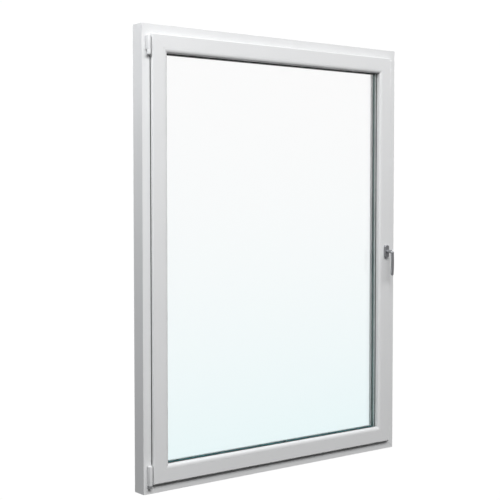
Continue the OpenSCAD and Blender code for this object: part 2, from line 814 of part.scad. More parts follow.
module stay_arm_cover() {
    color(WHITE)
        translate([hinge_x, hinge_y, eye_z + 1.5])
            difference() {
                cylinder(r = cover_r, h = eye_h);
                translate([0, 0, -1]) cylinder(r = knuckle_r + 0.2, h = eye_h + 2);
                translate([-2 * cover_r, -0.5, -1]) cube([4 * cover_r, 2 * cover_r, eye_h + 2]);
            }
}

// Bearing on the frame that holds the stay arm's pin
bearing_z = eye_z + 1.5 + eye_h + 0.5;
bearing_h = cover_top_z - bearing_z - 2 * cover_wall - 0.2;
module stay_bearing() {
    color(ZINC)
        difference() {
            translate([hinge_x, hinge_y, bearing_z + cover_wall + 0.1])
                difference() {
                    union() {
                        cylinder(r = knuckle_r, h = bearing_h);
                        translate([-3.5, 0, 0]) cube([7, hinge_out, bearing_h]);
                        translate([-7, hinge_out - 2, 0]) cube([12, 2, bearing_h]);
                    }
                    translate([0, 0, -1]) cylinder(r = pin_r, h = cover_h);
                }
            stay_screw_places() screw_hole();
        }
}

module stay_bearing_cover() {
    color(WHITE)
        difference() {
            hinge_shell(bearing_z, cover_top_z - bearing_z, hinge_out - 2.4, cover_wall);
            translate([hinge_x, hinge_y, bearing_z - 1]) cylinder(r = pin_r + 0.2, h = 4);
        }
}

module stay_pin() {
    color(ZINC)
        translate([hinge_x, hinge_y, eye_z]) {
            cylinder(r = pin_r + 1.2, h = 1.2);
            cylinder(r = pin_r, h = cover_top_z - eye_z - 2);
        }
}

// Bearing at the bottom hinge corner, under the sash's corner band
bearing_low = tilt_z - 15;
bearing_top = cover_low_z - 1.3;
module corner_bearing() {
    high = bearing_top - bearing_low;
    color(ZINC)
        difference() {
            translate([hinge_x, hinge_y, bearing_low])
                difference() {
                    union() {
                        cylinder(r = knuckle_r, h = high);
                        translate([-knuckle_r, 0, 0]) cube([2 * knuckle_r, hinge_out - 2, high]);
                        translate([-9, hinge_out - 2, 0]) cube([28, 2, high]);
                    }
                    translate([0, 0, -1]) cylinder(r = pin_r + pin_gap, h = 30);
                }
            corner_screw_place() screw_hole();
        }
}

module corner_screw_place() {
    translate([hinge_x + 14, room_y - 2, (bearing_low + bearing_top) / 2]) children();
}
module stay_screw_places() {
    for (z = [10, bearing_h - 10])
        translate([hinge_x - 5.2, room_y - 2, bearing_z + cover_wall + z]) children();
}
module screw_hole() rotate([-90, 0, 0]) translate([0, 0, -1]) cylinder(r = 1.3 + pin_gap, h = 12, $fn = 24);
module bearing_screw() {
    rotate([-90, 0, 0]) cylinder(r = 1.3, h = wall_t + 1.9, $fn = 24);
    rotate([90, 0, 0]) cylinder(r = 1.7, h = 0.8, $fn = 24);
}
module bearing_screws() {
    color(ZINC) {
        corner_screw_place() bearing_screw();
        stay_screw_places() bearing_screw();
    }
}

// Pin that turns in the corner bearing; its ball carries the sash and lets it tilt
module pivot_pin() {
    color(ZINC)
        translate([hinge_x, hinge_y, 0]) {
            translate([0, 0, bearing_low - 1.2]) cylinder(r = pin_r + 1, h = 1.1);
            translate([0, 0, bearing_low - 0.2]) cylinder(r = pin_r, h = bearing_top - bearing_low);
            translate([0, 0, bearing_low]) cylinder(r = pin_r - 0.8, h = tilt_z - bearing_low);
            translate([0, 0, tilt_z]) sphere(r = pin_r);
        }
}

// Corner band: the sash's half of the bottom hinge, screwed to the hinge stile
module corner_band() {
    flap_x0 = hinge_x + knuckle_r - 2;
    leg_s = plate_s - 3.1;
    leg_x = hinge_x + leg_s - hinge_in;
    top = cover_low_z + cover_h - cover_wall - 0.2;
    color(ZINC)
        difference() {
            union() {
                translate([hinge_x, hinge_y, cover_low_z + 0.1]) cylinder(r = knuckle_r, h = top - cover_low_z);
                translate([hinge_x, hinge_y, plate_s + 4])
                    cube([knuckle_r + 2, flap_y + flap_t / 2 - hinge_y, top - plate_s - 4]);
                translate([flap_x0, flap_y - flap_t / 2, plate_s + 4])
                    cube([leg_x - flap_x0, flap_t, top - plate_s - 4]);
                translate([leg_x, flap_y - flap_t / 2, plate_s + 4])
                    cube([3, groove_y + plate_w / 2 - flap_y + flap_t / 2, 130]);
            }
            translate([hinge_x, hinge_y, cover_low_z - 1])
                cylinder(r = pin_r + pin_gap, h = tilt_z - cover_low_z + 5);
            translate([leg_x - 1, groove_y, plate_s + corner_leg - 12])
                rotate([0, 90, 0]) cylinder(r = 3.4, h = 6, $fn = 24);
        }
}

module corner_band_cover() {
    color(WHITE)
        difference() {
            hinge_shell(cover_low_z, cover_h, 7, cover_wall);
            translate([hinge_x, hinge_y, cover_low_z - 1]) cylinder(r = knuckle_r + 0.2, h = 4);
            translate([hinge_x, hinge_y - 0.5, cover_low_z + 10]) cube([60, 30, cover_h - 10 - cover_wall]);
        }
}

frame_sill();
frame_jamb_lock();
frame_head();
frame_jamb_hinge();
frame_reinforcements();
frame_gasket();
corner_bearing();
stay_bearing();
stay_bearing_cover();
stay_pin();
bearing_screws();
strikers();
tilt_striker();
striker_screws();
run_up_block();
sash_bottom_rail();
sash_stile_lock();
sash_top_rail();
sash_stile_hinge();
sash_reinforcements();
overlap_gasket();
bead_bottom();
bead_lock();
bead_top();
bead_hinge();
bead_gaskets();
glazing_gaskets();
glass_pane_room();
glass_pane_weather();
spacer_bar();
edge_sealant();
glazing_blocks();
faceplate_bottom();
faceplate_lock();
faceplate_top();
faceplate_hinge();
gearbox_case();
corner_drives();
corner_band();
corner_band_cover();
stay_guide();
handle_base();
rosette_cover();
handle_screws();
hardware_screws();
handle_lever();
spindle();
pinion();
drive_rod_bottom();
drive_rod_lock();
drive_rod_top();
drive_rod_hinge();
cams_bottom();
cams_lock();
cams_top();
cams_hinge();
pivot_pin();
stay_arm();
stay_arm_cover();
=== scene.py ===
"""Looks of a tilt-and-turn window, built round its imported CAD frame.

The room side faces -Y, the weather side +Y, the hinges are at -X and the sill stands on z = 0.
Lengths are in metres. A profile is drawn as (y, s): y is the depth and s the distance in from the
outer edge of the window, so one outline serves all four sides.
"""

import math

import bmesh
import bpy
import numpy as np
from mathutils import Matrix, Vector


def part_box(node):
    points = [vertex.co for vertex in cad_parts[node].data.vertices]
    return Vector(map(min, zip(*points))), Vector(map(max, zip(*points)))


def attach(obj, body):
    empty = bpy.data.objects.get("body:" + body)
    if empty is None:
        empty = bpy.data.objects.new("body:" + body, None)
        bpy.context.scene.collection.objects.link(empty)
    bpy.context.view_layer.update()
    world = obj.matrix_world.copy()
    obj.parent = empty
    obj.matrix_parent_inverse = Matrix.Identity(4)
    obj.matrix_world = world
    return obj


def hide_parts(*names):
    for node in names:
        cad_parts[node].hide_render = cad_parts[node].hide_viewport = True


bl_info = {
    "name": "Tilt-and-turn window",
    "version": (1, 0, 0),
    "blender": (4, 5, 0),
    "location": "3D View > Sidebar > Window",
    "description": "White plastic window with profiles, glazing, hinges, locking gear and handle",
    "category": "Object",
}

MM = 0.001
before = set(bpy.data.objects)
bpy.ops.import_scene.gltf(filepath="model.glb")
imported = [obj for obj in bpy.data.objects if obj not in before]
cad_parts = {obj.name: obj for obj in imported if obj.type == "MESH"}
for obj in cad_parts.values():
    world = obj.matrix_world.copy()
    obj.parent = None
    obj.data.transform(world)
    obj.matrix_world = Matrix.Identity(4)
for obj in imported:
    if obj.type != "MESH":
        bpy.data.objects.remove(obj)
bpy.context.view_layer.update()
SILL_LOW, SILL_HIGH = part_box("frame_sill")
RAIL_LOW, RAIL_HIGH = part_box("sash_bottom_rail")
WIDTH = SILL_HIGH.x - SILL_LOW.x
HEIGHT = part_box("frame_jamb_hinge")[1].z
SIDES = ("bottom", "lock", "top", "hinge")
# The axis of the hinges, and the outer radius and the wall of their covers.
HINGE_X, HINGE_Y = -723 * MM, -47 * MM
HINGE_R = 9 * MM
COVER_WALL = 1.2 * MM
# Heights of the fixing holes in the jambs and places of the drain slots in the sill, in millimetres.
FIXINGS_Z = (220, 740, 1260, 1780)
DRAINS_X = (-500, 0, 500)


# ---------------- shader wiring


class Wire:
    """A node's output socket. Adding, multiplying and so on adds the Math node that does it."""

    def __init__(self, tree, socket):
        self.tree = tree
        self.socket = socket

    def _math(self, operation, first, second, **settings):
        return self.tree.add("ShaderNodeMath", {"operation": operation, **settings}, {0: first, 1: second})

    def __add__(self, other):
        return self._math("ADD", self, other)

    __radd__ = __add__

    def __sub__(self, other):
        return self._math("SUBTRACT", self, other)

    def __rsub__(self, other):
        return self._math("SUBTRACT", other, self)

    def __mul__(self, other):
        return self._math("MULTIPLY", self, other)

    __rmul__ = __mul__

    def __truediv__(self, other):
        return self._math("DIVIDE", self, other)

    def __gt__(self, other):
        return self._math("GREATER_THAN", self, other)

    def fraction(self):
        """What is left of the value after its whole part."""
        return self._math("FRACT", self, 0.0)

    def clamped(self):
        """The value held between 0 and 1."""
        return self._math("ADD", self, 0.0, use_clamp=True)


class Finish:
    """One material and its node tree."""

    def __init__(self, name):
        self.material = bpy.data.materials.new(name)
        self.material.use_nodes = True
        self.nodes = self.material.node_tree.nodes
        self.links = self.material.node_tree.links
        self.nodes.clear()

    def add(self, kind, settings=None, sockets=None, out=0):
        """Adds a node: settings are set first, then its sockets' values or links; gives its output."""
        node = self.nodes.new(kind)
        for key, value in (settings or {}).items():
            setattr(node, key, value)
        for key, value in (sockets or {}).items():
            if isinstance(value, Wire):
                self.links.new(value.socket, node.inputs[key])
            else:
                node.inputs[key].default_value = value
        return Wire(self, node.outputs[out])

    def scaled(self, vector, scale):
        return self.add("ShaderNodeMapping", {}, {"Vector": vector, "Scale": scale})

    def axis(self, vector, name):
        return self.add("ShaderNodeSeparateXYZ", {}, {0: vector}, out=name)

    def noise(self, vector, scale, detail=2.0, rough=0.5):
        values = {"Vector": vector, "Scale": scale, "Detail": detail, "Roughness": rough}
        return self.add("ShaderNodeTexNoise", {}, values)

    def lines(self, vector, along, squeeze, scale, rough):
        """Noise drawn out along one axis into fine lines."""
        stretch = tuple(squeeze if k == along else 1.0 for k in range(3))
        return self.noise(self.scaled(vector, stretch), scale, 3.0, rough)

    def mask(self, name):
        return self.add("ShaderNodeAttribute", {"attribute_name": name}, out="Fac")

    def blend(self, factor, first, second):
        """The first colour where factor is 0 and the second where it is 1."""
        return self.add(
            "ShaderNodeMix", {"data_type": "RGBA"}, {0: factor, 6: shade(first), 7: shade(second)}, out=2
        )

    def relief(self, height, depth, strength=1.0):
        return self.add(
            "ShaderNodeBump", {}, {"Height": height, "Distance": depth, "Strength": strength}, out="Normal"
        )

    def close(self, **sockets):
        """Ends the tree in a Principled shader. Underscores in a socket's name stand for spaces."""
        inputs = {key.replace("_", " "): value for key, value in sockets.items()}
        surface = self.add("ShaderNodeBsdfPrincipled", {}, inputs)
        return self.end(surface)

    def end(self, surface):
        """Links a shader to the material's output."""
        output = self.nodes.new("ShaderNodeOutputMaterial")
        self.links.new(surface.socket, output.inputs["Surface"])
        return self.material


def begun(name):
    """A finish, and the object coordinates that its patterns use."""
    finish = Finish(name)
    return finish, finish.add("ShaderNodeTexCoord", out="Object")


def shade(colour):
    """A colour with its alpha, or the wire as it is."""
    if isinstance(colour, Wire):
        return colour
    values = tuple(colour)
    return values if len(values) == 4 else values + (1.0,)


def dimmed(colour, share):
    """A colour's numbers times a share."""
    return tuple(share * c for c in tuple(colour)[:3])


# ---------------- finishes


def extruded_plastic(name, colour, along, roughness):
    """White window plastic: hair-fine die lines along the length, broad drift of tone, rubbed edges and
    a greyed weld seam."""
    f, place = begun(name)
    lines = f.lines(place, along, 0.02, 700.0, 0.6)
    drift = f.noise(place, 5.0, 2.0)
    grain = f.noise(place, 2600.0, 2.0)
    edge, seam = f.mask("edge"), f.mask("seam")
    tone = (0.5 + (lines - 0.5) * 0.5 + (drift - 0.5) * 0.9 + edge * 0.25 - seam * 0.8).clamped()
    return f.close(
        Base_Color=f.blend(tone, dimmed(colour, 0.955), colour),
        Roughness=(
            roughness + (lines - 0.5) * 0.14 + (drift - 0.5) * 0.08 - edge * 0.07 + seam * 0.2
        ).clamped(),
        Normal=f.relief(lines * 0.7 + grain * 0.3, 0.00006, 0.7),
        IOR=1.52,
    )


def both_ways(name, colour, roughness=0.34):
    """Profile plastic with its die lines running level, and the same with them upright."""
    ways = (("level", 0), ("upright", 2))
    return [extruded_plastic(f"{name}_{way}", colour, along, roughness) for way, along in ways]


def moulded_plastic(name, colour, roughness=0.4):
    """Injection-moulded cover: fine spark-eroded grain, slightly polished high spots."""
    f, place = begun(name)
    grain = f.noise(place, 3200.0, 3.0, 0.6)
    drift = f.noise(place, 30.0, 2.0)
    edge = f.mask("edge")
    return f.close(
        Base_Color=f.blend((drift * 0.7 + edge * 0.3).clamped(), dimmed(colour, 0.94), colour),
        Roughness=(roughness + (grain - 0.5) * 0.2 - edge * 0.08).clamped(),
        Normal=f.relief(grain, 0.00008, 0.6),
        IOR=1.5,
    )


def rubber(name, colour):
    """Extruded rubber: dull, with a faint bloom and fine pits."""
    f, place = begun(name)
    bloom = f.noise(place, 25.0, 3.0)
    pits = f.noise(place, 1800.0, 2.0)
    return f.close(
        Base_Color=f.blend((bloom * 0.8 + pits * 0.2).clamped(), colour, dimmed(colour, 2.2)),
        Roughness=(0.5 + bloom * 0.2).clamped(),
        Normal=f.relief(pits, 0.00008, 0.5),
    )


def spangled_steel(name, colour):
    """Hot-dip zinc: cells of spangle that differ in tone and gloss."""
    f, place = begun(name)
    cell = f.add("ShaderNodeTexVoronoi", {}, {"Vector": place, "Scale": 110.0}, out="Color")
    spangle = f.add("ShaderNodeSeparateColor", {}, {0: cell}, out=0)
    film = f.noise(place, 14.0, 3.0)
    return f.close(
        Base_Color=f.blend((spangle * 0.6 + film * 0.4).clamped(), dimmed(colour, 0.72), colour),
        Metallic=0.9,
        Roughness=(0.36 + spangle * 0.16 + film * 0.1).clamped(),
        Normal=f.relief(spangle, 0.00003, 0.4),
    )


def plated_steel(name, colour, along=None, roughness=0.3):
    """Bright zinc plating: rolling lines along the strip, faint yellow and blue drift, small scuffs."""
    f, place = begun(name)
    lines = f.lines(place, along, 0.03, 900.0, 0.65)
    drift = f.noise(place, 18.0, 3.0)
    scuff = f.noise(place, 420.0, 4.0, 0.7)
    warm = (colour[0], colour[1] * 0.975, colour[2] * 0.93)
    tint = f.blend(drift, warm, colour)
    return f.close(
        Base_Color=f.blend((lines * 0.5 + scuff * 0.3).clamped(), tint, dimmed(colour, 0.82)),
        Metallic=0.95,
        Roughness=(roughness + (lines - 0.5) * 0.25 + (scuff - 0.5) * 0.15).clamped(),
        Normal=f.relief(lines + scuff * 0.5, 0.00004, 0.6),
    )


def cast_metal(name, colour, roughness=0.45):
    """Die-cast zinc: dull and a little uneven, brighter where it has rubbed."""
    f, place = begun(name)
    skin_tone = f.noise(place, 90.0, 4.0, 0.6)
    grit = f.noise(place, 1500.0, 2.0)
    return f.close(
        Base_Color=f.blend(skin_tone, dimmed(colour, 0.75), colour),
        Metallic=0.85,
        Roughness=(roughness + (skin_tone - 0.5) * 0.25).clamped(),
        Normal=f.relief(grit * 0.6 + skin_tone * 0.4, 0.00008, 0.5),
    )


def satin_metal(name, colour):
    """Satin-anodised handle: very fine bead-blast grain, edges polished a little lighter by hands."""
    f, place = begun(name)
    blast = f.noise(place, 4200.0, 2.0, 0.6)
    touch = f.noise(place, 45.0, 3.0)
    edge = f.mask("edge")
    tone = (touch * 0.5 + edge * 0.5 + (blast - 0.5) * 0.3).clamped()
    return f.close(
        Base_Color=f.blend(tone, dimmed(colour, 0.82), dimmed(colour, 1.12)),
        Metallic=0.8,
        Roughness=(0.4 + (blast - 0.5) * 0.16 - touch * 0.08 - edge * 0.06).clamped(),
        Normal=f.relief(blast, 0.00004, 0.5),
    )


def pane_glass(name, high, low):
    """Clear float glass: a cyan tint that deepens downwards, which is a painted reflection of the pale room
    below, barely visible roller waves and dust.
    """
    f, place = begun(name)
    height = f.axis(place, "Z")
    dust = f.noise(place, 60.0, 3.0)
    roll = f.noise(f.scaled(place, (1.0, 1.0, 0.3)), 2.2, 1.0)
    # Painted reflection: the tint grows towards the foot of the panes and stands in for the pale room
    # reflected in the glass.
    painted_reflection_depth = (1 - height / HEIGHT + (dust - 0.5) * 0.02).clamped()
    return f.close(
        Base_Color=f.blend(painted_reflection_depth * painted_reflection_depth, high, low),
        Roughness=(dust * 0.006).clamped(),
        Transmission_Weight=1.0,
        IOR=1.45,
        Normal=f.relief(roll, 0.0004, 0.05),
    )


def spacer_metal(name, colour):
    """Rolled spacer bar: satin, with the two rows of breather holes that let the drying beads work."""
    f, place = begun(name)
    x, y, z = (f.axis(place, name) for name in "XYZ")
    pitch, middle, off_middle = 6 * MM, 15 * MM, 3 * MM
    along = (x + z) * (1 / pitch)
    beat = 1 - (along.fraction() - 0.5) * (along.fraction() - 0.5) * 60.0
    across = (y + middle) * (1 / off_middle)
    row = 1 - (across * across - 1) * (across * across - 1) * 3.0
    hole = (beat * row > 0.75) * 1.0
    grain = f.noise(place, 800.0, 2.0)
    return f.close(
        Base_Color=f.blend((hole * 0.45 + grain * 0.15).clamped(), colour, dimmed(colour, 0.25)),
        Metallic=0.3,
        Roughness=(0.42 + (grain - 0.5) * 0.2).clamped(),
        Normal=f.relief(1 - hole, 0.0003, 0.6),
    )


def seal_film(name, low, high):
    """The pane's edge seen through the glass: green float-glass edge colour, deepest along the foot, and near
    black along the head, where that black is painted shade of the top edge.
    """
    f, place = begun(name)
    height = f.axis(place, "Z")
    fine = f.noise(place, 400.0, 2.0)
    line = 125 * MM
    rise = ((height - line) * 40.0 + (fine - 0.5) * 0.1).clamped()
    # Painted shade: along the head the edge goes near black, standing in for the shade under the top of the
    # sash.
    head = ((height - (HEIGHT - line)) * 400.0).clamped()
    return f.close(
        Base_Color=f.blend(head, f.blend(rise, low, high), dimmed(high, 0.08)),
        Roughness=(0.45 + fine * 0.2).clamped(),
        Normal=f.relief(fine, 0.00003, 0.4),
    )


# ---------------- shapes


def linked(name, data):
    """A new object, linked to the scene."""
    made = bpy.data.objects.new(name, data)
    bpy.context.scene.collection.objects.link(made)
    return made


def depths(node):
    """The depths between which a CAD node lies, in millimetres."""
    return [corner.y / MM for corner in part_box(node)]


def eased_outline(corners, steps=5):
    """A closed outline round its corners, and how much of an edge each of its points is.

    Each corner is (y, s, before, after) in millimetres. It turns along a quarter of an ellipse:
    point = corner + a * before * (1 - sin t) + b * after * (1 - cos t), with t from 0 to 90 degrees,
    and a and b the unit vectors to the neighbouring corners. One more point lies on either side of the
    turn, up to a millimetre off, so that the flats stay flat in smooth shading.
    """
    c = np.array([[k[0], k[1]] for k in corners], float) * MM
    cut = np.array([[k[2], k[-1]] for k in corners], float) * MM
    back = np.roll(c, 1, 0) - c
    ahead = np.roll(c, -1, 0) - c
    back_l = np.linalg.norm(back, axis=1)
    ahead_l = np.linalg.norm(ahead, axis=1)
    a, b = back / back_l[:, None], ahead / ahead_l[:, None]
    free = ahead_l - cut[:, 1] - np.roll(cut[:, 0], -1)
    pad_after = np.minimum(1.0 * MM, 0.3 * free)
    pad_before = np.roll(pad_after, 1)
    t = np.linspace(0, math.pi / 2, steps + 1)
    turn = (
        c[:, None]
        + a[:, None] * (cut[:, 0, None] * (1 - np.sin(t)))[..., None]
        + b[:, None] * (cut[:, 1, None] * (1 - np.cos(t)))[..., None]
    )
    first = (c + a * (cut[:, 0] + pad_before)[:, None])[:, None]
    last = (c + b * (cut[:, 1] + pad_after)[:, None])[:, None]
    points = np.concatenate([first, turn, last], 1).reshape(-1, 2)
    edge = np.tile(np.r_[0.0, np.sin(np.linspace(0.3, math.pi - 0.3, steps + 1)), 0.0], len(c))
    return points, edge


def inward(points):
    """Unit vectors into the outline at its points: the normal of the line through both neighbours."""
    line = np.roll(points, -1, 0) - np.roll(points, 1, 0)
    line /= np.maximum(np.linalg.norm(line, axis=1), 1e-9)[:, None]
    area = np.sum(points[:, 0] * np.roll(points[:, 1], -1) - np.roll(points[:, 0], -1) * points[:, 1])
    return np.stack([-line[:, 1], line[:, 0]], 1) * np.sign(area)


def at_side(k, t, y, s):
    """Points at t along side k, depth y and distance s in from the window's edge. 0 is the bottom, 1 the
    lock side, 2 the top and 3 the hinge side."""
    across, up = {
        0: (t, s),
        1: (WIDTH / 2 - s, HEIGHT / 2 + t),
        2: (-t, HEIGHT - s),
        3: (-WIDTH / 2 + s, HEIGHT / 2 - t),
    }[k]
    shape = np.broadcast(across, y, up).shape
    return np.stack([np.broadcast_to(v, shape) for v in (across, y, up)], -1)


def mitred_rings(k, points, seam_width=0.0, seam_depth=0.0):
    """Rings of an outline carried along side k, both ends cut at 45 degrees.

    A point at distance s from the edge runs from -(half - s) to +(half - s), half being half the side's
    full length, so both ends lie in the mitre planes. Next to them the outline sinks by
    seam_depth * (1 - distance / seam_width), which leaves the fine groove of a cleaned weld.
    """
    half = (WIDTH if k % 2 == 0 else HEIGHT) / 2
    width = seam_width or 2 * MM
    off = np.array([0.0, 0.5, 1.0, 2.5]) * width
    sunk = seam_depth * np.maximum(0, 1 - off / width)
    reach = half - points[:, 1]
    ends = reach[None] - off[:, None]
    t = np.concatenate([ends, 0 * reach[None], -ends[::-1]])
    depth = np.r_[sunk, 0.0, sunk[::-1]]
    n = inward(points)
    y = points[None, :, 0] + n[None, :, 0] * depth[:, None]
    s = points[None, :, 1] + n[None, :, 1] * depth[:, None]
    t = np.sign(t) * np.minimum(np.abs(t), half - s)
    close = off < 0.8 * seam_width
    return at_side(k, t, y, s), np.r_[close, 0, close[::-1]][:, None]


def skin(name, ring_sets, edges=None, seams=None):
    """A mesh object over sets of rings: each set is an array (rings, points, 3), joined ring to ring by
    quads and closed by one face at either end. A set whose signed volume, the sum of a . (b x c) / 6 over
    its triangles, is negative has its faces reversed, so that they all point outwards."""
    verts, faces, base = [], [], 0
    masks = {"edge": (edges, []), "seam": (seams, [])}
    for index, rings in enumerate(ring_sets):
        m, n, _ = rings.shape
        flat = rings.reshape(-1, 3)
        i, j = np.meshgrid(np.arange(m - 1), np.arange(n), indexing="ij")
        nxt = (j + 1) % n
        quads = np.stack([i * n + j, i * n + nxt, (i + 1) * n + nxt, (i + 1) * n + j], -1).reshape(-1, 4)
        caps = [np.arange(n)[::-1], (m - 1) * n + np.arange(n)]
        centred = flat - flat.mean(0)
        tris = [quads[:, [0, 1, 2]], quads[:, [0, 2, 3]]]
        tris += [np.stack([np.full(n - 2, cap[0]), cap[1:-1], cap[2:]], 1) for cap in caps]
        a, b, c = (centred[np.concatenate(tris)[:, k]] for k in range(3))
        if np.sum(a * np.cross(b, c)) < 0:
            quads, caps = quads[:, ::-1], [cap[::-1] for cap in caps]
        faces += (quads + base).tolist() + [(cap + base).tolist() for cap in caps]
        verts.append(flat)
        for given, values in masks.values():
            values.append(np.broadcast_to(0.0 if given is None else given[index], (m, n)).ravel())
        base += m * n
    mesh = bpy.data.meshes.new(name)
    mesh.from_pydata(np.concatenate(verts).tolist(), [], faces)
    for mask, (_, values) in masks.items():
        layer = mesh.attributes.new(mask, "FLOAT", "POINT")
        layer.data.foreach_set("value", np.concatenate(values).astype(np.float32))
    mesh.validate()
    return linked(name, mesh)


def welded(name, k, outline, seam_width=0.0, seam_depth=0.0):
    """One mitred length of an outline, with the grooves of its welds."""
    points, edge = outline
    rings, seam = mitred_rings(k, points, seam_width, seam_depth)
    return skin(name + SIDES[k], [rings], [edge], [seam])


def all_round(name, corners, steps):
    """One outline carried along all four sides."""
    points, edge = eased_outline(corners, steps)
    return skin(name, [mitred_rings(k, points)[0] for k in range(4)], [edge] * 4)


def cylinder_rings(centre, axis, radius, start, stop, points=40):
    """Two rings round a centre: centre + radius * (cos u, sin u) in the plane across the axis."""
    u = np.linspace(0, 2 * math.pi, points, endpoint=False)
    ring = np.zeros((2, points, 3)) + np.array(centre, float)
    first, second = [k for k in range(3) if k != axis]
    ring[..., first] += radius * np.cos(u)
    ring[..., second] += radius * np.sin(u)
    ring[0, :, axis], ring[1, :, axis] = start, stop
    return ring


def box_rings(low, high):
    """Two rings of four corners, at the low and the high end of a box along X."""
    ring = np.zeros((2, 4, 3))
    ring[0, :, 0], ring[1, :, 0] = low[0], high[0]
    ring[..., 1] = np.array([low[1], high[1], high[1], low[1]])
    ring[..., 2] = np.array([low[2], low[2], high[2], high[2]])
    return ring


def carved(made, *cutters):
    """Takes the cutters' solids, given as sets of rings, away from an object for good."""
    for number, rings in enumerate(cutters):
        tool = skin(f"cutter_{number}", [rings])
        step = made.modifiers.new("cut", "BOOLEAN")
        step.operation, step.solver, step.object = "DIFFERENCE", "EXACT", tool
        bpy.context.view_layer.update()
        worked = made.evaluated_get(bpy.context.evaluated_depsgraph_get())
        mesh = bpy.data.meshes.new_from_object(worked)
        made.modifiers.clear()
        made.data = mesh
        bpy.data.objects.remove(tool)
    return made


def finished(made, body, finish, replaces=(), crease=35.0):
    """Smooth shading with creases kept, the finish, and the piece's place among the bodies."""
    mesh = made.data
    mesh.polygons.foreach_set("use_smooth", np.ones(len(mesh.polygons), bool))
    mesh.set_sharp_from_angle(angle=math.radians(crease))
    mesh.materials.clear()
    mesh.materials.append(finish)
    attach(made, body)
    if replaces:
        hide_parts(*replaces)
    return made


def paint(finish, *nodes):
    """Gives CAD nodes their finish."""
    for node in nodes:
        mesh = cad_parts[node].data
        mesh.materials.clear()
        mesh.materials.append(finish)


def eased_copy(node, body, finish, width):
    """A CAD node's shape with its loose triangles merged and its sharp edges eased by a bevel."""
    work = bmesh.new()
    work.from_mesh(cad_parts[node].data)
    bmesh.ops.remove_doubles(work, verts=work.verts, dist=0.002 * MM)
    bmesh.ops.dissolve_limit(
        work, angle_limit=math.radians(1.0), verts=work.verts, edges=work.edges, delimit={"NORMAL"}
    )
    mesh = bpy.data.meshes.new(node + "_eased")
    work.to_mesh(mesh)
    work.free()
    made = linked(node + "_eased", mesh)
    bevel = made.modifiers.new("ease", "BEVEL")
    bevel.width, bevel.segments, bevel.limit_method = width, 2, "ANGLE"
    bevel.angle_limit = math.radians(40.0)
    bevel.use_clamp_overlap, bevel.harden_normals = True, False
    return finished(made, body, finish, (node,), 30.0)


# ---------------- sizes, colours and light


def tint(**stated):
    """A colour setting with the name, description and default that are stated."""
    return bpy.props.FloatVectorProperty(size=3, subtype="COLOR", min=0, max=1, **stated)


class WindowSizes(bpy.types.PropertyGroup):
    """Sizes that the looks add to the CAD ones."""

    edge: bpy.props.FloatProperty(
        name="Edge rounding", description="Rounding of the profiles' edges", default=0.5 * MM, min=0.1 * MM,
        max=1.0 * MM, unit="LENGTH"
    )
    seam_width: bpy.props.FloatProperty(
        name="Seam width", description="Half the width of a weld groove", default=0.6 * MM, min=0.2 * MM,
        max=1.5 * MM, unit="LENGTH"
    )
    seam_depth: bpy.props.FloatProperty(
        name="Seam depth", description="Depth of a weld groove", default=0.25 * MM, min=0.05 * MM,
        max=0.6 * MM, unit="LENGTH"
    )
    cover_ease: bpy.props.FloatProperty(
        name="Cover rounding", description="Rounding of a hinge cover's top", default=2.5 * MM,
        min=0.5 * MM, max=4.0 * MM, unit="LENGTH"
    )
    lever_bow: bpy.props.FloatProperty(
        name="Lever bow", description="How far the lever's middle stands out", default=1.8 * MM, min=0.0,
        max=4.0 * MM, unit="LENGTH"
    )
    hardware_ease: bpy.props.FloatProperty(
        name="Fitting edges", description="Bevel on pressed fittings", default=0.25 * MM, min=0.05 * MM,
        max=0.5 * MM, unit="LENGTH"
    )


class WindowColours(bpy.types.PropertyGroup):
    """Colours of the window's materials."""

    plastic: tint(
        name="Profile white", description="White of frame, sash and beads", default=(0.81, 0.815, 0.82)
    )
    cover: tint(name="Cover white", description="White of the hinge covers", default=(0.8, 0.805, 0.81))
    rubber: tint(name="Rubber", description="Colour of the gaskets", default=(0.02, 0.021, 0.022))
    steel: tint(name="Plated steel", description="Colour of the locking gear", default=(0.66, 0.67, 0.68))
    cast: tint(name="Cast zinc", description="Colour of bearings and gear case", default=(0.42, 0.43, 0.44))
    handle: tint(name="Handle", description="Colour of lever and rosette", default=(0.36, 0.365, 0.38))
    glass_high: tint(
        name="Glass, high", description="Tint at the top of the panes", default=(0.9856, 0.9856, 0.9856)
    )
    # The cyan at the foot is a painted reflection of the pale room, not a tint of the glass itself.
    glass_low: tint(
        name="Glass, low", description="Tint at the foot of the panes", default=(0.8956, 0.9656, 0.9717)
    )
    spacer: tint(name="Spacer", description="Colour of the spacer bar", default=(0.86, 0.89, 0.89))
    sealant: tint(name="Sealant", description="Colour of the pane edge seal", default=(0.01, 0.05, 0.05))
    film_low: tint(
        name="Glass edge, foot", description="Edge colour along the foot", default=(0.004, 0.13, 0.14)
    )
    film_high: tint(
        name="Glass edge, sides", description="Edge colour up the sides", default=(0.14, 0.24, 0.225)
    )
    packer: tint(name="Packers", description="Colour of packers and run-up block", default=(0.08, 0.1, 0.13))


